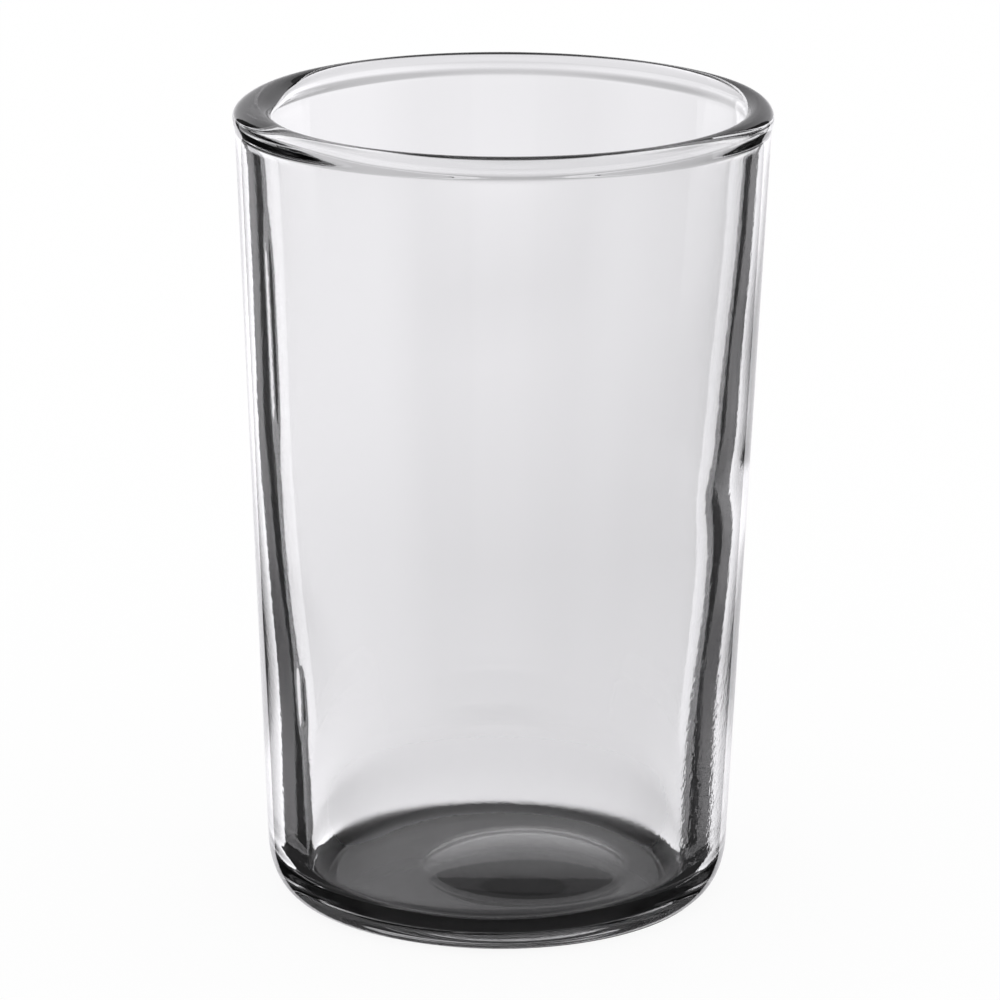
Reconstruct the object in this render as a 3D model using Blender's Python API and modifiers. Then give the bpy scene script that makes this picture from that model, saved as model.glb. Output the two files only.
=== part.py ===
"""A small tasting glass: one piece of clear blown soda-lime glass, turned about Z.

The glass stands on z = 0 with its axis on Z. Every height and radius below comes from
the driving dimensions at the top, in metres.
"""

import math

import bpy

# Driving dimensions: the outside
HEIGHT = 0.0889
RIM_WALL_DIAMETER = 0.0584
FOOT_WALL_DIAMETER = 0.0512
HEEL_HEIGHT = 0.0054
HEEL_INSET = 0.0021

# Driving dimensions: the thickness of the glass
RIM_WALL_THICKNESS = 0.0025
FOOT_WALL_THICKNESS = 0.0039
INNER_CORNER_WIDTH = 0.0017
INNER_CORNER_HEIGHT = 0.0048
RING_THICKNESS = 0.0016
CENTRE_THICKNESS = 0.0016

# Driving dimensions: the fire-polished bead at the rim
BEAD_CROWN = 0.0016
BEAD_BLEND = 0.0016
BEAD_OUTSTAND = 0.0002
BEAD_INSTAND = 0.0006

# Driving dimensions: the push-up, the shallow dome in the middle of the base
PUSH_UP_DIAMETER = 0.0242
PUSH_UP_DEPTH = 0.0013
FLOOR_SOFTNESS = 1.4

# How finely the round stretches are drawn
TURN_STEPS = 84
CURVE_STEPS = 8
DOME_STEPS = 7
WALL_STEPS = 4
MERGE_DISTANCE = 0.00001

GLASS_COLOUR = (0.93, 0.93, 0.94, 1.0)
GLASS_ROUGHNESS = 0.02
GLASS_IOR = 1.52


def between(low, high, share):
    """The value that lies at this share of the way from low to high."""
    return low + (high - low) * share


def shares(steps):
    """Evenly spaced shares from just after 0 up to 1."""
    return [(i + 1) / steps for i in range(steps)]


def ease(share):
    """A cosine step from 0 to 1 that starts and ends level."""
    return (1 - math.cos(math.pi * share)) / 2


def round_in(share):
    """A quarter ellipse from 0 to 1: level at the start, upright at the end."""
    return 1 - math.sqrt(max(0.0, 1 - share * share))


def wall_outside(z):
    """Radius of the straight tapered outer wall at height z."""
    return between(FOOT_WALL_DIAMETER, RIM_WALL_DIAMETER, z / HEIGHT) / 2


def wall_inside(z):
    """Radius of the inner wall at height z: the wall thickens towards the foot."""
    return wall_outside(z) - between(FOOT_WALL_THICKNESS, RIM_WALL_THICKNESS, z / HEIGHT)


def push_up(share):
    """How far the push-up has risen, from 1 on the axis to 0 at its edge: a parabola."""
    return 1 - share * share


def floor_and_inner_corner():
    """The inner floor, from the axis out, and the elliptical corner up to the inner wall.

    The floor rises over the push-up with a softer edge than the push-up has below, and is
    flat from there to the corner.
    """
    centre_z = PUSH_UP_DEPTH + CENTRE_THICKNESS
    points = [(0, centre_z)]
    for share in shares(DOME_STEPS):
        rise = push_up(share) ** FLOOR_SOFTNESS
        points.append((share * PUSH_UP_DIAMETER / 2, between(RING_THICKNESS, centre_z, rise)))
    corner_top = RING_THICKNESS + INNER_CORNER_HEIGHT
    flat_radius = wall_inside(corner_top) - INNER_CORNER_WIDTH
    points.append((flat_radius, RING_THICKNESS))
    for share in shares(CURVE_STEPS):
        turn = share * math.pi / 2
        radius = flat_radius + INNER_CORNER_WIDTH * math.sin(turn)
        points.append((radius, RING_THICKNESS + INNER_CORNER_HEIGHT * (1 - math.cos(turn))))
    return points


def inner_wall():
    """The inner wall, from the corner up to where the bead starts to swell."""
    low = RING_THICKNESS + INNER_CORNER_HEIGHT
    high = HEIGHT - BEAD_CROWN - BEAD_BLEND
    heights = [between(low, high, share) for share in shares(WALL_STEPS)]
    return [(wall_inside(z), z) for z in heights]


def bead_radius(outside):
    """Radius of the bead's inner or outer side where it is widest."""
    widest_z = HEIGHT - BEAD_CROWN
    if outside:
        return wall_outside(widest_z) + BEAD_OUTSTAND
    return wall_inside(widest_z) - BEAD_INSTAND


def bead(outside):
    """One side of the bead, from the wall up to the top of its crown.

    The side swells past the wall line with a cosine step, then rounds over as a quarter
    ellipse to the middle of the bead.
    """
    points = []
    side = wall_outside if outside else wall_inside
    stand = BEAD_OUTSTAND if outside else -BEAD_INSTAND
    widest_z = HEIGHT - BEAD_CROWN
    for share in shares(CURVE_STEPS):
        z = widest_z - BEAD_BLEND * (1 - share)
        points.append((side(z) + stand * ease(share), z))
    middle = (bead_radius(True) + bead_radius(False)) / 2
    for share in shares(CURVE_STEPS):
        turn = share * math.pi / 2
        radius = between(middle, bead_radius(outside), math.cos(turn))
        points.append((radius, widest_z + BEAD_CROWN * math.sin(turn)))
    return points


def outer_wall():
    """The outer wall, from under the bead down to the top of the heel."""
    high = HEIGHT - BEAD_CROWN - BEAD_BLEND
    heights = [high] + [between(high, HEEL_HEIGHT, share) for share in shares(WALL_STEPS)]
    return [(wall_outside(z), z) for z in heights]


def heel():
    """The rounded heel, from the wall down to the bearing ring."""
    points = []
    for share in shares(CURVE_STEPS):
        fall = math.sin(share * math.pi / 2)
        z = HEEL_HEIGHT * (1 - fall)
        points.append((wall_outside(z) - HEEL_INSET * round_in(fall), z))
    return points


def underside():
    """The flat bearing ring, inwards to the push-up, and the push-up up to the axis."""
    edge = PUSH_UP_DIAMETER / 2
    points = [(edge, 0)]
    for share in shares(DOME_STEPS):
        points.append((edge * (1 - share), PUSH_UP_DEPTH * push_up(1 - share)))
    return points


def glass_section():
    """The whole section, from the inner floor's centre over the rim to the push-up's top."""
    inner_side = floor_and_inner_corner() + inner_wall() + bead(outside=False)
    outer_bead = bead(outside=True)[:-1]
    return inner_side + outer_bead[::-1] + outer_wall() + heel() + underside()


def clear_glass():
    """Clear soda-lime glass with a fire-polished surface."""
    material = bpy.data.materials.new("clear_soda_lime_glass")
    material.use_nodes = True
    shader = material.node_tree.nodes["Principled BSDF"]
    shader.inputs["Base Color"].default_value = GLASS_COLOUR
    shader.inputs["Roughness"].default_value = GLASS_ROUGHNESS
    shader.inputs["Metallic"].default_value = 0.0
    shader.inputs["IOR"].default_value = GLASS_IOR
    shader.inputs["Transmission Weight"].default_value = 1.0
    return material


def turned(name, section, material, collection):
    """A solid of revolution about Z: the section as edges, turned by a Screw modifier."""
    points = [(radius, 0, z) for radius, z in section]
    edges = [(i, i + 1) for i in range(len(points) - 1)]
    mesh = bpy.data.meshes.new(name)
    mesh.from_pydata(points, edges, [])
    mesh.materials.append(material)
    solid = bpy.data.objects.new(name, mesh)
    collection.objects.link(solid)
    screw = solid.modifiers.new("turn", "SCREW")
    screw.axis = "Z"
    screw.angle = 2 * math.pi
    screw.steps = TURN_STEPS
    screw.render_steps = TURN_STEPS
    screw.use_merge_vertices = True
    screw.merge_threshold = MERGE_DISTANCE
    screw.use_smooth_shade = True
    return solid


def build():
    for thing in list(bpy.data.objects):
        bpy.data.objects.remove(thing, do_unlink=True)
    collection = bpy.data.collections.new("tasting_glass")
    bpy.context.scene.collection.children.link(collection)
    turned("glass_body", glass_section(), clear_glass(), collection)


build()
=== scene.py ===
# %% [markdown]
# A tasting glass is one piece of clear soda-lime glass: a bead round the rim, a wall that thickens
# towards the foot, and a thin base pushed up in the middle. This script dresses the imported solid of
# that glass, lights it as a studio lights glass, and sets the camera. The solid stays the frame: it is
# loaded first, its box is kept, and nothing here moves it.

import math

import bpy
import numpy as np
from mathutils import Matrix, Vector


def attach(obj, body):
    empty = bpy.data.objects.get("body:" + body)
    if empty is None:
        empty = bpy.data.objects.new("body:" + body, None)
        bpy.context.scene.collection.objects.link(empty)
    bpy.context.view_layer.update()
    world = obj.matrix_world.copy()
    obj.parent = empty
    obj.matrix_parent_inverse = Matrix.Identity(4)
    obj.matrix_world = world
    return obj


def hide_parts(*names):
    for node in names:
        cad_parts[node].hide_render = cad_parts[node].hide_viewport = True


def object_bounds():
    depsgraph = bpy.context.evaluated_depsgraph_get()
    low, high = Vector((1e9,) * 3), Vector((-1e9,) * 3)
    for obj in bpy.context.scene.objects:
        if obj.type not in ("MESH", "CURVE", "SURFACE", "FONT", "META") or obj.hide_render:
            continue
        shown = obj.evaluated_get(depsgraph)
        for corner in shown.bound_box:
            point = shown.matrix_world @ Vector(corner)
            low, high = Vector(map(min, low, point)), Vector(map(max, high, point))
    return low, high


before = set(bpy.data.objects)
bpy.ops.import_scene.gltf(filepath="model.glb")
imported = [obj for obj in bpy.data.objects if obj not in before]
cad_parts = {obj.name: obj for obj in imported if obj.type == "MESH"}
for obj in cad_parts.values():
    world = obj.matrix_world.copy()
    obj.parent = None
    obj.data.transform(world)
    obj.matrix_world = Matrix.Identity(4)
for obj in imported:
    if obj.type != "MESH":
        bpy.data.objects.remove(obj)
cad_low, cad_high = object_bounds()
MM = 0.001
HEIGHT = (cad_high.z - cad_low.z) / MM
RIM_DIAMETER = (cad_high.x - cad_low.x) / MM
print("frame: %.1f mm tall, %.1f mm across the rim" % (HEIGHT, RIM_DIAMETER))

# %% [markdown]
# The camera looks a little down on the glass, so that the rim opens into an ellipse and the base shows
# through the wall. A long lens from about half a metre keeps the sides nearly parallel. A camera can be
# aimed with a Track To constraint, but a direction turned into a quaternion needs no helper object, and
# it leaves room for the slight roll of a camera that wasn't quite level. It stands off the glass's front
# right corner. What is said below of left, right, front and back is as this camera sees them.

# %% Place the camera
CAMERA_TURN = math.radians(45)
CAMERA_ELEVATION = math.radians(16.48)
CAMERA_DISTANCE = 561.8
CAMERA_AIM_HEIGHT = 43.95
CAMERA_ROLL = 0.0033
SENSOR = 36.0
LENS = 182.5

camera_data = bpy.data.cameras.new("camera")
camera_data.sensor_width = SENSOR
camera_data.lens = LENS
camera_data.clip_start = 0.01
camera_data.clip_end = 20.0
camera = bpy.data.objects.new("camera", camera_data)
bpy.context.scene.collection.objects.link(camera)
aim = Vector((0, 0, CAMERA_AIM_HEIGHT * MM))
to_right = np.array([math.cos(CAMERA_TURN), math.sin(CAMERA_TURN)])
to_back = np.array([-math.sin(CAMERA_TURN), math.cos(CAMERA_TURN)])
towards_camera = Vector((*(-to_back * math.cos(CAMERA_ELEVATION)), math.sin(CAMERA_ELEVATION)))
upright = (-towards_camera).to_track_quat("-Z", "Y").to_matrix()
rolled = upright @ Matrix.Rotation(CAMERA_ROLL, 3, "Z")
stand = aim + towards_camera * CAMERA_DISTANCE * MM
camera.matrix_world = Matrix.Translation(stand) @ rolled.to_4x4()
bpy.context.scene.camera = camera
print("camera at", [round(c, 3) for c in camera.matrix_world.translation])

# %% [markdown]
# Everything about the glass is drawn as one section: half of the shape that a saw would leave if it cut
# the glass down the middle. It starts at the middle of the inner floor, runs out to the inner corner, up
# the inner wall, over the bead, down the outer wall, round the heel and back under the base to the middle
# of the push-up. Each stretch is a short formula in millimetres, so a size can be changed without moving
# a single point by hand. The wall comes first, because every other stretch starts or ends on it: outside
# it is a straight taper, and inside it lies closer in towards the foot, where the glass is thicker.

# %% Set out the wall
RIM_WALL_RADIUS = 29.2
FOOT_WALL_RADIUS = 25.6
RIM_WALL_THICKNESS = 2.5
FOOT_WALL_THICKNESS = 4.05
ROUND_STEPS = 320

# Angles run round from the front, 0, by the right, 90 degrees, to the back; the left is at -90.
angle = np.arange(ROUND_STEPS)[None, :] * 2 * np.pi / ROUND_STEPS


def between(low, high, share):
    """The value that lies at this share of the way from low to high."""
    return low + (high - low) * share


def wall_outside(z):
    """Radius of the outer wall at height z: a straight taper from foot to rim."""
    return between(FOOT_WALL_RADIUS, RIM_WALL_RADIUS, z / HEIGHT)


def wall_inside(z):
    """Radius of the inner wall at height z: the outer wall less a thickness that grows towards the foot."""
    return wall_outside(z) - between(FOOT_WALL_THICKNESS, RIM_WALL_THICKNESS, z / HEIGHT)


print("wall: %.1f mm across inside, half way up" % (2 * wall_inside(HEIGHT / 2)))

# %% [markdown]
# The inner floor is thin. It rises in the middle over the push-up, falls a little towards the wall, and
# meets it in a soft corner. On this glass the corner is low and wide at the front, and tall and narrow at
# the back. A bevelled edge would give the same corner all round, so the corner here is a superellipse, an
# ellipse with a power of its own that sets how full it is, and its sizes change on the way round.

# %% Draw the floor and the inner corner
# A pair is the size at the front and the size at the back.
FLOOR_LEVEL = (1.32, 1.45)
FLOOR_MIDDLE = 2.96
FLOOR_FALL = 0.3
FLOOR_DOME_RADIUS = 12.0
FLOOR_SOFTNESS = 1.22
CORNER_WIDTH = (3.8, 1.72)
CORNER_HEIGHT = (3.68, 8.7)
CORNER_POWER = (1.92, 1.16)
BACK_EASE_POWER = 2.4


def front_to_back(pair):
    """A size at the front and one at the back, eased round the glass by a cosine to a power."""
    return between(pair[0], pair[1], ((1 - np.cos(angle)) / 2) ** BACK_EASE_POWER)


def shares(steps):
    """Even shares from just after 0 up to 1, as a column."""
    return np.linspace(0, 1, steps + 1)[1:, None]


def floor_stretch(steps):
    """The floor from its middle out: a parabola to a power over the push-up, on a slight fall outwards."""
    share = np.linspace(0, 1, steps + 1)[:, None]
    radius = corner_start * share
    dome = np.clip(1 - (radius / FLOOR_DOME_RADIUS) ** 2, 0, None) ** FLOOR_SOFTNESS
    rise = FLOOR_MIDDLE - FLOOR_FALL - floor_level
    return radius, floor_level + rise * dome + FLOOR_FALL * (1 - share ** 2)


def corner_stretch(steps):
    """The inner corner: a quarter of a superellipse between floor and wall."""
    turn = shares(steps) * np.pi / 2
    power = 2 / front_to_back(CORNER_POWER)
    radius = corner_start + corner_width * np.sin(turn) ** power
    return radius, floor_level + corner_height * (1 - np.cos(turn) ** power)


floor_level = front_to_back(FLOOR_LEVEL)
corner_width = front_to_back(CORNER_WIDTH)
corner_height = front_to_back(CORNER_HEIGHT)
corner_top = floor_level + corner_height
corner_start = wall_inside(corner_top) - corner_width
print("corner: %.2f to %.2f mm tall round the glass" % (corner_height.min(), corner_height.max()))

# %% [markdown]
# The rim is fire-polished: a flame melts the cut edge until it draws up into a bead. The bead swells off
# the wall, a little outside and more inside, and rounds over at the top. A bevel would keep within the
# thickness of the wall and could not swell past it, so each side of the bead is a cosine step off the wall
# followed by a quarter of an ellipse. It stands further in at the sides than at the front and back.

# %% Draw the inner wall and the bead
# A pair is the size at the two ends, front and back, and the size at the two sides.
BEAD_CROWN = 1.4
BEAD_OUTSTAND = 0.2
BEAD_INSTAND = (0.18, 0.75)
BEAD_BLEND = (1.3, 1.5)
BEAD_STEPS = 12


def ends_to_sides(pair):
    """A size at the two ends, front and back, and one at the two sides, eased as a squared sine."""
    return between(pair[0], pair[1], np.sin(angle) ** 2)


def ease(share):
    """A cosine step from 0 to 1, level at both ends."""
    return (1 - np.cos(np.pi * share)) / 2


def inner_wall_stretch(steps):
    """The inner wall from the corner up to the bead."""
    z = between(corner_top, bead_neck, shares(steps))
    return wall_inside(z), z


def bead_stretch(steps, side, stand):
    """One side of the bead, upwards: a cosine swell off the wall, then a quarter ellipse to its middle."""
    share = shares(steps)
    swell_z = bead_widest - bead_blend * (1 - share)
    outer = wall_outside(bead_widest) + BEAD_OUTSTAND
    inner = wall_inside(bead_widest) - bead_instand
    turn = share * np.pi / 2
    crown = between((outer + inner) / 2, side(bead_widest) + stand, np.cos(turn))
    crown_z = bead_widest + BEAD_CROWN * np.sin(turn) + 0 * angle
    radius = np.concatenate([side(swell_z) + stand * ease(share), crown])
    return radius, np.concatenate([swell_z, crown_z])


bead_instand = ends_to_sides(BEAD_INSTAND)
bead_blend = ends_to_sides(BEAD_BLEND)
bead_widest = HEIGHT - BEAD_CROWN
bead_neck = bead_widest - bead_blend
print("bead: starts %.2f mm under the rim at the sides" % (HEIGHT - bead_neck.min()))

# %% [markdown]
# Outside, the wall runs straight down to the heel, which rounds in to a flat ring. The glass stands on
# that ring, because the middle of the base is pushed up into a shallow dome. Heel and dome are what make
# the dark and light lines in the base, so both are plain curves: a quarter of a superellipse and a
# parabola. A polygon with a Bevel modifier would show its flats there.

# %% Draw the outer wall, the heel and the push-up
HEEL_HEIGHT = 5.0
HEEL_INSET = 2.3
HEEL_POWER = 1.99
PUSH_UP_RADIUS = 11.8
PUSH_UP_DEPTH = 1.3
FOOT_RADIUS = FOOT_WALL_RADIUS - HEEL_INSET


def outer_wall_stretch(steps):
    """The outer wall from under the bead down to the heel."""
    z = between(bead_neck, HEEL_HEIGHT, np.linspace(0, 1, steps + 1)[:, None])
    return wall_outside(z), z


def heel_stretch(steps):
    """The heel: a quarter of a superellipse from the wall in to the bearing ring."""
    fall = np.sin(shares(steps) * np.pi / 2)
    z = HEEL_HEIGHT * (1 - fall)
    return wall_outside(z) - HEEL_INSET * (1 - (1 - fall ** HEEL_POWER) ** (1 / HEEL_POWER)), z


def underside_stretch(steps):
    """The flat bearing ring and the push-up, a parabola up to the axis."""
    ring = between(FOOT_RADIUS, PUSH_UP_RADIUS, shares(steps))
    dome = PUSH_UP_RADIUS * (1 - shares(steps))
    dome_z = PUSH_UP_DEPTH * (1 - (dome / PUSH_UP_RADIUS) ** 2)
    return np.concatenate([ring, dome]), np.concatenate([0 * ring, dome_z])


inner_bead = bead_stretch(BEAD_STEPS, wall_inside, -bead_instand)
outer_bead = [line[::-1][1:] for line in bead_stretch(BEAD_STEPS, wall_outside, BEAD_OUTSTAND)]
inner_half = [floor_stretch(steps=40), corner_stretch(steps=16), inner_wall_stretch(steps=100), inner_bead]
outer_half = [outer_bead, outer_wall_stretch(steps=30), heel_stretch(steps=16), underside_stretch(steps=24)]
section_r = np.concatenate([radius + 0 * angle for radius, z in inner_half + outer_half])
section_z = np.concatenate([z + 0 * angle for radius, z in inner_half + outer_half])
inner_rows = sum(len(radius) for radius, z in inner_half)
print("section: %d points, %d of them on the inside" % (len(section_r), inner_rows))

# %% [markdown]
# Glass that is blown and fire-polished is never quite true. On this one the wall is thicker and thinner
# in places, a small drop has set on its inside at the right, and two fine cords, streaks of stiffer glass,
# stand up at the front left. In clear glass these small errors are what the eye sees: they bend the dark
# bands at the edges. A sculpted mesh could hold them, but gauges can be read and changed: each line of
# gauges gives the extra thickness about every centimetre up the wall, and it fades out round the glass.

# %% Let the wall wander
GAUGE_FIRST = 7.0
GAUGE_STEP = 9.0
# Where each line of gauges stands and how far round it reaches, in degrees, and its millimetres of glass
LEFT_GAUGES = (-90, 48, [0.0, 0.17, 0.04, -0.25, -0.33, -0.32, -0.19, -0.1, -0.06, 0.0])
RIGHT_GAUGES = (90, 48, [0.0, 0.23, 0.14, -0.09, 0.02, 0.09, 0.05, -0.13, -0.12, 0.0])
FRONT_GAUGES = (0, 55, [-0.25, -0.06, 0.12, 0.1, 0.0, 0.0, 0.0, 0.0, 0.0, 0.0])
DROP_THICKNESS = 0.14
DROP_ANGLE = 84
DROP_REACH = 30
DROP_HEIGHT = 46.5
DROP_HALF_HEIGHT = 4.0
# Each cord's angle in degrees, the height of its middle, half its length, and its thickness
CORDS = [(-65, 66, 11, 0.03), (-59.5, 25, 3.5, 0.035)]
CORD_REACH = 1.1
FADE_LOW = (3, 11)
FADE_HIGH = (HEIGHT, HEIGHT - 6)


def bell(angle, at, reach):
    """A bell curve round the glass, 1 at the angle at; at and reach are in degrees."""
    turn = np.degrees(np.angle(np.exp(1j * (angle - math.radians(at)))))
    return np.exp(-(turn / reach) ** 2)


def step(value, start, end):
    """An eased step: 0 up to start, 1 from end on, whichever way end lies from start."""
    return ease(np.clip((value - start) / (end - start), 0, 1))


def gauged(z, gauges):
    """A smooth curve by a line of gauges: a cubic B-spline, the sum of each gauge times a cubic hump."""
    away = np.abs((z[..., None] - GAUGE_FIRST) / GAUGE_STEP - np.arange(len(gauges)))
    near = 2 / 3 - away ** 2 + away ** 3 / 2
    far = np.clip(2 - away, 0, None) ** 3 / 6
    return (np.where(away < 1, near, far) * np.array(gauges)).sum(-1)


def extra_thickness(angle, z):
    """What the wall has over its even taper: three lines of gauges, the drop and the cords.

    Each fades round the glass as a bell curve.
    """
    thickness = 0 * z
    for at, reach, gauges in (LEFT_GAUGES, RIGHT_GAUGES, FRONT_GAUGES):
        thickness = thickness + gauged(z, gauges) * bell(angle, at, reach)
    drop_up = np.exp(-((z - DROP_HEIGHT) / DROP_HALF_HEIGHT) ** 2)
    thickness = thickness + DROP_THICKNESS * bell(angle, DROP_ANGLE, DROP_REACH) * drop_up
    for at, middle, half, height in CORDS:
        thickness = thickness + height * bell(angle, at, CORD_REACH) * np.exp(-((z - middle) / half) ** 6)
    return thickness


inside = (np.arange(len(section_r)) < inner_rows)[:, None] * 1.0
fade = inside * step(section_z, *FADE_LOW) * step(section_z, *FADE_HIGH)
wall_extra = extra_thickness(angle, section_z) * fade
print("wall: from %.2f to %.2f mm over its even taper" % (wall_extra.min(), wall_extra.max()))

# %% [markdown]
# The flame doesn't melt the rim evenly either. The bead is heavy on the left, where a drip has set on its
# inner side, and light on the right. A few bells round the glass say so in one line each, where a sculpted
# rim would hide it in its points. The bead grows inwards, so the widest part of the rim stays true.

# %% Let the bead wander
# Each swell's thickness, and its angle and reach in degrees
BEAD_SWELLS = [(0.65, -85, 45), (0.5, -102, 12), (-0.18, 90, 45), (-0.45, 107, 24)]


def extra_bead(angle):
    """How much further in the bead stands: a sum of bells round the glass."""
    return sum(thickness * bell(angle, at, reach) for thickness, at, reach in BEAD_SWELLS)


def bead_share(z, inside):
    """How much of a wider bead shows at height z: an eased rise to its widest ring, then half an ellipse."""
    over = np.sqrt(1 - np.clip((z - bead_widest) / BEAD_CROWN, 0, 1) ** 2) / 2
    rising = step(z, bead_neck, bead_widest)
    return np.where(z < bead_widest, rising * inside, np.where(inside > 0, 0.5 + over, 0.5 - over))


bead_extra = extra_bead(angle) * bead_share(section_z, inside)
print("bead: from %.2f to %.2f mm over its even size" % (bead_extra.min(), bead_extra.max()))

# %% [markdown]
# Last, the whole glass leans by about a third of a degree, it is a little oval towards the rim, and the
# middle of its base is off the axis, to the right and the back. Object transforms could lean and squeeze
# it, but the piece has to stay unturned and unscaled, so these go into its points.

# %% Bend the section round the axis
LEAN = 0.0051
OVAL = 0.026
PUSH_UP_SHIFT = 3.2
PUSH_UP_BACK = 0.2
FLOOR_BACK = 0.5
SHIFT_EDGE = 19
BASE_TOP = FLOOR_MIDDLE + 1

ring_r = section_r - wall_extra - bead_extra
shift_start = between(PUSH_UP_RADIUS, FLOOR_DOME_RADIUS, inside)
off_middle = (section_z < BASE_TOP) * step(section_r, SHIFT_EDGE, shift_start)
rightward = ring_r * np.sin(angle) + LEAN * (section_z - HEIGHT / 2) + PUSH_UP_SHIFT * off_middle
backward = -ring_r * np.cos(angle) * (1 - OVAL * section_z / HEIGHT)
backward = backward + between(PUSH_UP_BACK, FLOOR_BACK, inside) * off_middle
grid_x = rightward * to_right[0] + backward * to_back[0]
grid_y = rightward * to_right[1] + backward * to_back[1]
print("glass: %.2f mm wide and %.2f mm deep" % (np.ptp(rightward), np.ptp(backward)))

# %% [markdown]
# A surface of revolution could be made with a Screw or Spin, but the wandering wall isn't round. So the
# glass is a grid: one direction runs along the section, the other round the axis. The grid is worked out
# as whole arrays, and its faces come from index arithmetic. At its two ends the section has no radius left,
# so each end closes in a fan of triangles on a single point.

# %% Turn the section into a surface
def turned_mesh(name, x, y, z):
    """Mesh of a closed grid whose first and last rows are each a single point.

    Each other row is one ring round the axis. Neighbouring rings are joined by four-sided faces, and the
    end points are joined to their rings by triangles.
    """
    rows, columns = x.shape
    grid = np.stack([x, y, z], -1)
    rings = grid[1:-1].reshape(-1, 3)
    ends = np.stack([grid[0].mean(0), grid[-1].mean(0)])
    points = np.concatenate([rings, ends]) * MM
    here = np.arange(columns)
    there = (here + 1) % columns
    down = np.arange(rows - 3)[:, None] * columns
    quads = np.stack([down + here, down + columns + here, down + columns + there, down + there], -1)
    first, last = len(rings), len(rings) + 1
    final = (rows - 3) * columns
    start_fan = np.stack([0 * here + first, here, there], -1)
    end_fan = np.stack([0 * here + last, final + there, final + here], -1)
    faces = quads.reshape(-1, 4).tolist() + start_fan.tolist() + end_fan.tolist()
    mesh = bpy.data.meshes.new(name)
    mesh.from_pydata(points.tolist(), [], faces)
    mesh.shade_smooth()
    mesh.validate()
    return mesh


glass_mesh = turned_mesh("tasting_glass", grid_x, grid_y, section_z)
tasting_glass = bpy.data.objects.new("tasting_glass", glass_mesh)
bpy.context.scene.collection.objects.link(tasting_glass)
glass_mesh.calc_loop_triangles()
print("tasting_glass: %d triangles" % len(glass_mesh.loop_triangles))

# %% [markdown]
# The inside isn't as smooth as the outside. It has a fine grain, strongest low on the right, and a dull
# corner at the back, where the edge of the floor goes soft. A noise could be masked by height in the
# material alone, but these places follow the section. So each point of the mesh carries two values of
# its own, grain and dullness, for the material to read.

# %% Mark the grain and the dull corner
WALL_GRAIN = 0.7
FLOOR_GRAIN = 0.8
FLOOR_EDGE = 17
CORNER_GRAIN = 4.0
CORNER_DULLNESS = 0.62
DULL_RADII = (15, 19)
DULL_HEIGHTS = (13, 4)
DULL_TO_BACK = (0, 0.6)
RIGHT_GRAIN = 2.2
RIGHT_ANGLE = 80
RIGHT_REACH = 35
RIGHT_HEIGHTS = (40, 10)


def paint(mesh, name, grid):
    """Puts a grid's values on the points of its turned mesh: the rings in order, then the two ends."""
    values = np.append(grid[1:-1].ravel(), [grid[0, 0], grid[-1, 0]]).astype(np.float32)
    mesh.attributes.new(name, "FLOAT", "POINT").data.foreach_set("value", values)


back_corner = step(section_r, *DULL_RADII) * step(-np.cos(angle), *DULL_TO_BACK)
back_corner = inside * back_corner * step(section_z, *DULL_HEIGHTS)
low_right = inside * bell(angle, RIGHT_ANGLE, RIGHT_REACH) * step(section_z, *RIGHT_HEIGHTS)
wall_grain = inside * WALL_GRAIN + (CORNER_GRAIN - WALL_GRAIN) * back_corner + RIGHT_GRAIN * low_right
grain_map = np.where(section_r < FLOOR_EDGE, inside * FLOOR_GRAIN, wall_grain)
paint(glass_mesh, "grain", grain_map)
paint(glass_mesh, "dullness", CORNER_DULLNESS * back_corner)
print("grain up to %.1f, dullness up to %.2f" % (grain_map.max(), CORNER_DULLNESS * back_corner.max()))

# %% [markdown]
# Materials are built from nodes. Clicking them together in the Shader Editor is one way, and a script can
# do the same with three small helpers: one turns a colour as it is picked on a screen into the linear light
# that a shader works in, one adds a node with its settings and links, and one starts an empty material.

# %% Write the helpers for materials
def linear(hex_colour):
    """An sRGB hex colour as linear red, green, blue and alpha."""
    srgb = np.array([int(hex_colour[i:i + 2], 16) for i in (1, 3, 5)]) / 255
    low = srgb / 12.92
    high = ((srgb + 0.055) / 1.055) ** 2.4
    return (*np.where(srgb <= 0.04045, low, high).tolist(), 1.0)


def add_node(tree, kind, settings=None, **inputs):
    """Adds a node. settings are its properties, inputs its sockets: a value, or another node's output."""
    node = tree.nodes.new(kind)
    for name, value in (settings or {}).items():
        setattr(node, name, value)
    for name, value in inputs.items():
        socket = node.inputs[name.replace("_", " ")]
        if isinstance(value, bpy.types.NodeSocket):
            tree.links.new(value, socket)
        else:
            socket.default_value = value
    return node


def new_material(name):
    """An empty node material and its tree."""
    material = bpy.data.materials.new(name)
    material.use_nodes = True
    material.node_tree.nodes.clear()
    return material, material.node_tree


print("screen grey #808080 is %.3f in linear light" % linear("#808080")[0])

# %% [markdown]
# This soda-lime glass is clear, with a faint grey cast in the thick parts, and fire polish leaves it
# smooth. A mix of glossy and transparent shaders renders faster, but it doesn't bend the light. The
# Principled shader with full transmission does, and a Volume Absorption shader takes a little light for
# every millimetre that it crosses, so thick glass comes out a little darker than thin. A fine noise, no
# deeper than about a hundredth of a millimetre, makes the bands' edges ragged where the grain is, and the
# roughness follows the dull corner.

# %% Make the glass material
GLASS_IOR = 1.52
GLASS_TINT = "#bcbcbc"
GLASS_DENSITY = 11.0
GRAIN_SIZE = 0.6
GRAIN_DEPTH = 0.004

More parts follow.
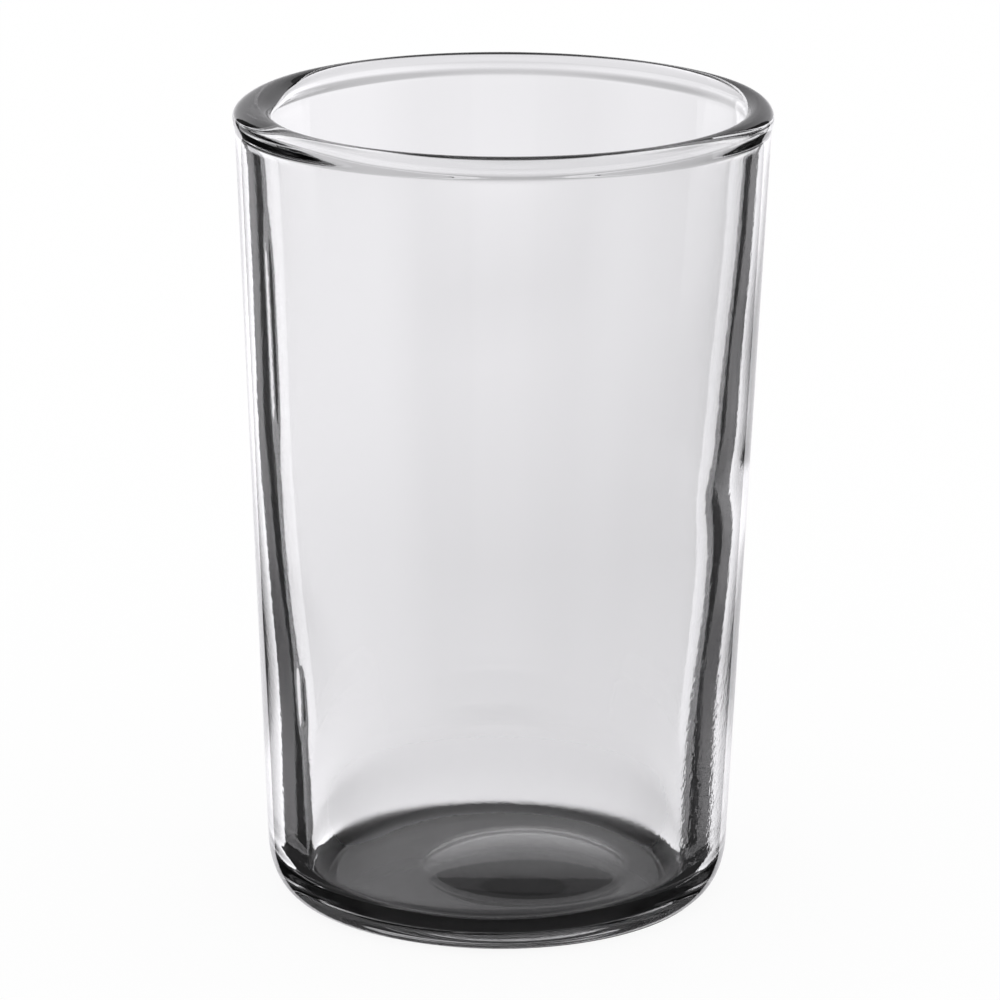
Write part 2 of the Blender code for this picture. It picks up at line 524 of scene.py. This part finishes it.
# Clear glass with a fire-polished gloss: sharp reflections and, through the bent light, sharp dark bands
clear_glass, tree = new_material("clear_fire_polished_soda_lime_glass")
place = add_node(tree, "ShaderNodeTexCoord")
speckle = add_node(tree, "ShaderNodeTexNoise", Vector=place.outputs["Object"], Detail=2.0,
                   Scale=1 / (GRAIN_SIZE * MM))
grain = add_node(tree, "ShaderNodeAttribute", {"attribute_name": "grain"})
dullness = add_node(tree, "ShaderNodeAttribute", {"attribute_name": "dullness"})
# A Math node's two inputs share a name, so the second is reached by its number.
centred = add_node(tree, "ShaderNodeMath", {"operation": "SUBTRACT"}, Value=speckle.outputs["Fac"])
centred.inputs[1].default_value = 0.5
grained = add_node(tree, "ShaderNodeMath", {"operation": "MULTIPLY"}, Value=centred.outputs[0])
tree.links.new(grain.outputs["Fac"], grained.inputs[1])
dimple = add_node(tree, "ShaderNodeBump", Strength=1.0, Distance=GRAIN_DEPTH * MM, Height=grained.outputs[0])
body = add_node(tree, "ShaderNodeBsdfPrincipled", Base_Color=linear("#ffffff"), IOR=GLASS_IOR,
                Roughness=dullness.outputs["Fac"], Transmission_Weight=1.0, Normal=dimple.outputs["Normal"])
absorb = add_node(tree, "ShaderNodeVolumeAbsorption", Color=linear(GLASS_TINT), Density=GLASS_DENSITY)
add_node(tree, "ShaderNodeOutputMaterial", Surface=body.outputs[0], Volume=absorb.outputs[0])
glass_mesh.materials.append(clear_glass)
lost = 1 - math.exp(-GLASS_DENSITY * (1 - linear(GLASS_TINT)[0]) * FOOT_WALL_RADIUS * 2 * MM)
print("glass: %.0f%% of the light is lost in crossing the width of the foot" % (100 * lost))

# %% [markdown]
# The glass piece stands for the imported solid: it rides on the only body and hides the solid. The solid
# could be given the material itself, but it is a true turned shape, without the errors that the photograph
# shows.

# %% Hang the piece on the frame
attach(tasting_glass, "root")
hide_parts("glass_body")
print("tasting_glass rides on root and stands for glass_body")

# %% [markdown]
# Clear glass shows nothing of its own: it shows what stands round it. A studio puts a white card behind it
# and black velvet beside that, so the middle of the glass is bright and its edges, which bend the line of
# sight outwards, go dark. Area lamps could be hung as cards, but here the card is a function of direction,
# so its brightness can change over its height and width as a real card's does under one lamp. Directions
# are degrees of azimuth, from straight behind the glass, and of elevation.

# %% Paint the white card
# Each curve is a list of elevations and the values there, apart from RIGHT_FALL_ACROSS, which goes by
# azimuth. The card's bright part ends sharply at 29 degrees. SIDE_LIFT is for the left and for the right.
CARD_RISE = ([-55, -48, -19.5, -17.7, -15.4, -13, -11.5, -5, 0, 6, 20, 28.995, 29.005, 40],
             [0.1, 0.87, 0.87, 0.885, 0.965, 0.985, 0.97, 0.99, 0.8, 0.6, 0.57, 0.52, 0.16, 0.2])
CARD_SLANT = 0.0065
SLANT_SHARE = ([-19, -16], [0.55, 1])
MIDDLE_DIP = ([-20.2, -19.3, -18.5, -14.6, -13.8, -12.4], [0.02, 0.07, 0.14, 0.145, 0.21, 0.1])
MIDDLE_REACH = 4
LEFT_LIFT = ([-20.8, -19.8, -17.4, -16.8, -15.4, -13], [-0.02, 0.11, 0.12, 0.09, 0.03, -0.02])
LEFT_REACH = 16
RIGHT_FALL = ([-20, -18.5, -16.8, -15.4, -12.4], [0.01, 0.05, 0.06, 0.035, 0.03])
RIGHT_FALL_ACROSS = ([0, 6, 14], [0, 1, 0.3])
SIDE_LIFT = (0.00085, 0.00095)
LOW_CORNERS = 0.25
LOW_CORNER_FOOT = (-38, -33)
LOW_CORNER_TOP = (-22, -27)
LOW_CORNER_SIDE = (11, 17)


def on_curve(value, curve):
    """The height of a curve at each value, straight between its points."""
    return np.interp(value, *curve)


def card_level(azimuth, elevation):
    """Brightness of the card: its rise, times a slant across, a dip in the middle and lifts at the sides."""
    off_centre = np.abs(azimuth)
    across = 1 - CARD_SLANT * azimuth * on_curve(elevation, SLANT_SHARE)
    across = across * (1 - on_curve(elevation, MIDDLE_DIP) * step(off_centre, MIDDLE_REACH, 0))
    left = on_curve(elevation, LEFT_LIFT) * step(azimuth, 0, -LEFT_REACH)
    right = on_curve(elevation, RIGHT_FALL) * on_curve(azimuth, RIGHT_FALL_ACROSS)
    across = across * (1 + left - right)
    across = across * (1 + np.where(azimuth < 0, *SIDE_LIFT) * azimuth ** 2)
    corner = step(elevation, *LOW_CORNER_FOOT) * step(elevation, *LOW_CORNER_TOP)
    corner = corner * step(off_centre, *LOW_CORNER_SIDE)
    return on_curve(elevation, CARD_RISE) * across * (1 - LOW_CORNERS * corner)


print("card: brightness %.2f low down, %.2f high up" % (card_level(0, -20), card_level(0, 20)))

# %% [markdown]
# Round the card hangs black velvet. Two side cards put the bright lines inside the glass's edges, a soft
# card by the camera puts a sheen on its walls, and the room and the ceiling give a little light back, so
# that black isn't quite black. A dim border round the card is the light that it spills on the velvet.

# %% Hang the velvet and the smaller cards
VELVET = 0.02
ROOM = 0.13
ROOM_FROM = (95, 115)
CEILING = 0.1
CEILING_FROM = (38, 46)
SMALL_CARD = 0.88
SMALL_CARD_FADE = 4
# The side cards' left, right, low and high edges, and the soft card's middle, reach, low and high edges
SIDE_CARDS = [(-72, -33, -8, 6), (33, 72, -8, 6)]
SOFT_CARD = (180, 50, -19, -6)
BORDER_EDGES = (-33, 38, -21.5, 40)
# Two curves by elevation: the border's brightness, and the azimuth of the white card's left edge
BORDER_LEVEL = ([-16.5, -15], [0.05, 0.085])
CARD_LEFT = ([-19.5, -18.5], [-28.5, -26])
CARD_RIGHT = 28.5
CARD_FOOT = -55
CARD_TOP = 40


def wrapped(degrees):
    """The same direction as an angle from -180 to 180 degrees."""
    return (degrees + 180) % 360 - 180


def on_card(azimuth, elevation, left, right, low, high):
    """True where a direction lies on a card with these edges, in degrees of azimuth and elevation."""
    return (azimuth > left) & (azimuth < right) & (elevation > low) & (elevation < high)


def faded(elevation, low, high):
    """A small card's brightness by height: full from low to high, easing to nothing beyond them."""
    return SMALL_CARD * (1 - step(np.maximum(low - elevation, elevation - high), 0, SMALL_CARD_FADE))


def tent_level(azimuth, elevation):
    """Brightness of the tent: velvet, room and ceiling, then the small cards, the border and the card."""
    level = between(VELVET, ROOM, step(np.abs(azimuth), *ROOM_FROM))
    level = between(level, CEILING, step(elevation, *CEILING_FROM))
    for left, right, low, high in SIDE_CARDS:
        card = (azimuth > left) & (azimuth < right)
        level = np.maximum(level, card * faded(elevation, low, high))
    middle, reach, low, high = SOFT_CARD
    soft = step(np.abs(wrapped(azimuth - middle)), reach, 0)
    level = np.maximum(level, soft * faded(elevation, low, high))
    border = np.maximum(on_curve(elevation, BORDER_LEVEL), level)
    level = np.where(on_card(azimuth, elevation, *BORDER_EDGES), border, level)
    left = on_curve(elevation, CARD_LEFT)
    card = on_card(azimuth, elevation, left, CARD_RIGHT, CARD_FOOT, CARD_TOP)
    return np.where(card, card_level(azimuth, elevation), level)


print("tent: %.2f beside the card, %.2f behind the camera" % (tent_level(60, -30), tent_level(180, -30)))

# %% [markdown]
# Card and velvet become one big sphere round the glass, with a face for each degree. Each corner of a face
# carries the brightness there, read a hair inside the face, so that a card's edge can stay sharp. The world
# could be painted in the same way, but a sphere is easily hidden from the camera and from the floor. So
# only light that has met the glass sees it, and the floor still gets plain, even light from the white world.

# %% Make the tent
TENT_RADIUS = 3.0
CARD_COLOUR = "#fdfcff"
FACE_REACH = 0.49

turn, rise = np.meshgrid(np.arange(-180, 181), np.arange(-90, 91), indexing="ij")
turn_r, rise_r = np.radians(turn), np.radians(rise)
flat = np.cos(rise_r)
tent_points = TENT_RADIUS * np.stack([flat * np.sin(turn_r), flat * np.cos(turn_r), np.sin(rise_r)], -1)
columns = turn.shape[1]
number = np.arange(turn.size).reshape(turn.shape)[:-1, :-1]
tent_faces = np.stack([number, number + 1, number + columns + 1, number + columns], -1).reshape(-1, 4)
tent_mesh = bpy.data.meshes.new("velvet_tent")
tent_mesh.from_pydata(tent_points.reshape(-1, 3).tolist(), [], tent_faces.tolist())
corner_turn = turn[:-1, :-1, None] + 0.5 + FACE_REACH * np.array([-1, -1, 1, 1])
corner_rise = rise[:-1, :-1, None] + 0.5 + FACE_REACH * np.array([-1, 1, 1, -1])
glow_level = tent_level(wrapped(corner_turn + math.degrees(CAMERA_TURN)), corner_rise)
glow_map = tent_mesh.attributes.new("level", "FLOAT", "CORNER")
glow_map.data.foreach_set("value", glow_level.ravel().astype(np.float32))
velvet_tent = bpy.data.objects.new("velvet_tent", tent_mesh)
bpy.context.scene.collection.objects.link(velvet_tent)
velvet_tent.visible_camera = False
velvet_tent.visible_diffuse = False
velvet_tent.visible_shadow = False

# White card and black velvet, as even light: the level on each corner is the brightness that the glass sees
velvet, tree = new_material("black_velvet_and_white_card")
velvet.cycles.emission_sampling = "NONE"
level = add_node(tree, "ShaderNodeAttribute", {"attribute_name": "level"})
glow = add_node(tree, "ShaderNodeEmission", Color=linear(CARD_COLOUR), Strength=level.outputs["Fac"])
add_node(tree, "ShaderNodeOutputMaterial", Surface=glow.outputs[0])
tent_mesh.materials.append(velvet)
print("tent: %d faces, brightest %.2f" % (len(tent_faces), glow_level.max()))

# %% [markdown]
# The glass stands on a dark disc about as wide as its foot: painted shade for the shade under the base,
# which is what makes the base read dark against the white. Under that is the plain pale floor, a big
# sheet of paper. Both are flat discs; a plane would do for the floor, but one function makes the two.

# %% Lay the painted shade disc
SHADE_DISC_RADIUS = 23.5
SHADE_DISC_GAP = 0.05
DISC_RINGS = 8
DISC_STEPS = 96


def disc(name, radius, z, material):
    """A flat round sheet facing up: rings of growing radius about the axis, from a point to the edge."""
    ring = radius * shares(DISC_RINGS)
    round_angle = np.arange(DISC_STEPS)[None, :] * 2 * np.pi / DISC_STEPS
    x = ring * np.sin(round_angle)
    y = -ring * np.cos(round_angle)
    rings = np.stack([x, y, 0 * x + z], -1).reshape(-1, 3)
    points = np.concatenate([rings, [[0, 0, z]]]) * MM
    here = np.arange(DISC_STEPS)
    there = (here + 1) % DISC_STEPS
    down = np.arange(DISC_RINGS - 1)[:, None] * DISC_STEPS
    quads = np.stack([down + here, down + DISC_STEPS + here, down + DISC_STEPS + there, down + there], -1)
    fan = np.stack([0 * here + len(rings), here, there], -1)
    mesh = bpy.data.meshes.new(name)
    mesh.from_pydata(points.tolist(), [], quads.reshape(-1, 4).tolist() + fan.tolist())
    mesh.materials.append(material)
    sheet = bpy.data.objects.new(name, mesh)
    bpy.context.scene.collection.objects.link(sheet)
    return sheet


# Painted shade under the foot: a matt, dark disc with no gloss, standing in for the shade under the base
painted_shade_disc, tree = new_material("painted_shade_disc")
shade_surface = add_node(tree, "ShaderNodeBsdfPrincipled", Base_Color=linear("#5a5a5a"), Roughness=1.0,
                Specular_IOR_Level=0.0)
add_node(tree, "ShaderNodeOutputMaterial", Surface=shade_surface.outputs[0])
disc("painted_shade_round", SHADE_DISC_RADIUS, -SHADE_DISC_GAP, painted_shade_disc)
print("felt %.1f mm across under a foot of %.1f mm" % (2 * SHADE_DISC_RADIUS, 2 * FOOT_RADIUS))

# %% [markdown]
# The floor should look white to the camera and still hold a trace of the glass's shadow. More light would
# bleach the glass as well, so the paper's own white is mixed in for the camera alone, with Light Path.
# Light inside the glass doesn't see the floor at all: it sees the tent.

# %% Lay the floor
FLOOR_DROP = 0.3
FLOOR_RADIUS = 3000.0
PAPER_GLOW = 0.92

# Uncoated white paper: matt and even
paper, tree = new_material("pale_paper_sweep")
paper.cycles.emission_sampling = "NONE"
matt_paper = add_node(tree, "ShaderNodeBsdfPrincipled", Base_Color=linear("#fdfdfd"), Roughness=1.0,
                      Specular_IOR_Level=0.0)
lit_paper = add_node(tree, "ShaderNodeEmission", Color=linear("#ffffff"), Strength=1.0)
rays = add_node(tree, "ShaderNodeLightPath")
seen = add_node(tree, "ShaderNodeMath", {"operation": "MULTIPLY"}, Value=rays.outputs["Is Camera Ray"])
seen.inputs[1].default_value = PAPER_GLOW
paper_mix = add_node(tree, "ShaderNodeMixShader", Fac=seen.outputs[0])
tree.links.new(matt_paper.outputs[0], paper_mix.inputs[1])
tree.links.new(lit_paper.outputs[0], paper_mix.inputs[2])
add_node(tree, "ShaderNodeOutputMaterial", Surface=paper_mix.outputs[0])
floor = disc("floor", FLOOR_RADIUS, -FLOOR_DROP, paper)
floor.visible_transmission = False
floor.visible_glossy = False
print("floor: %.0f m across, %.1f mm under the foot" % (2 * FLOOR_RADIUS * MM, FLOOR_DROP))

# %% [markdown]
# The light is a plain white world at a strength of 1, so white renders as white. Lamps would put spots on
# the glass that the photograph doesn't have. Glass needs many bounces: a path through the base can cross
# ten surfaces before it gets out.

# %% Light the set
world = bpy.data.worlds.new("white_studio")
world.use_nodes = True
bpy.context.scene.world = world
world.node_tree.nodes.clear()
sky = add_node(world.node_tree, "ShaderNodeBackground", Color=linear("#ffffff"), Strength=1.0)
add_node(world.node_tree, "ShaderNodeOutputWorld", Surface=sky.outputs[0])
cycles = bpy.context.scene.cycles
cycles.max_bounces = 32
cycles.transmission_bounces = 32
cycles.glossy_bounces = 16
bpy.context.scene.view_settings.view_transform = "Standard"
print("world strength", sky.inputs["Strength"].default_value)
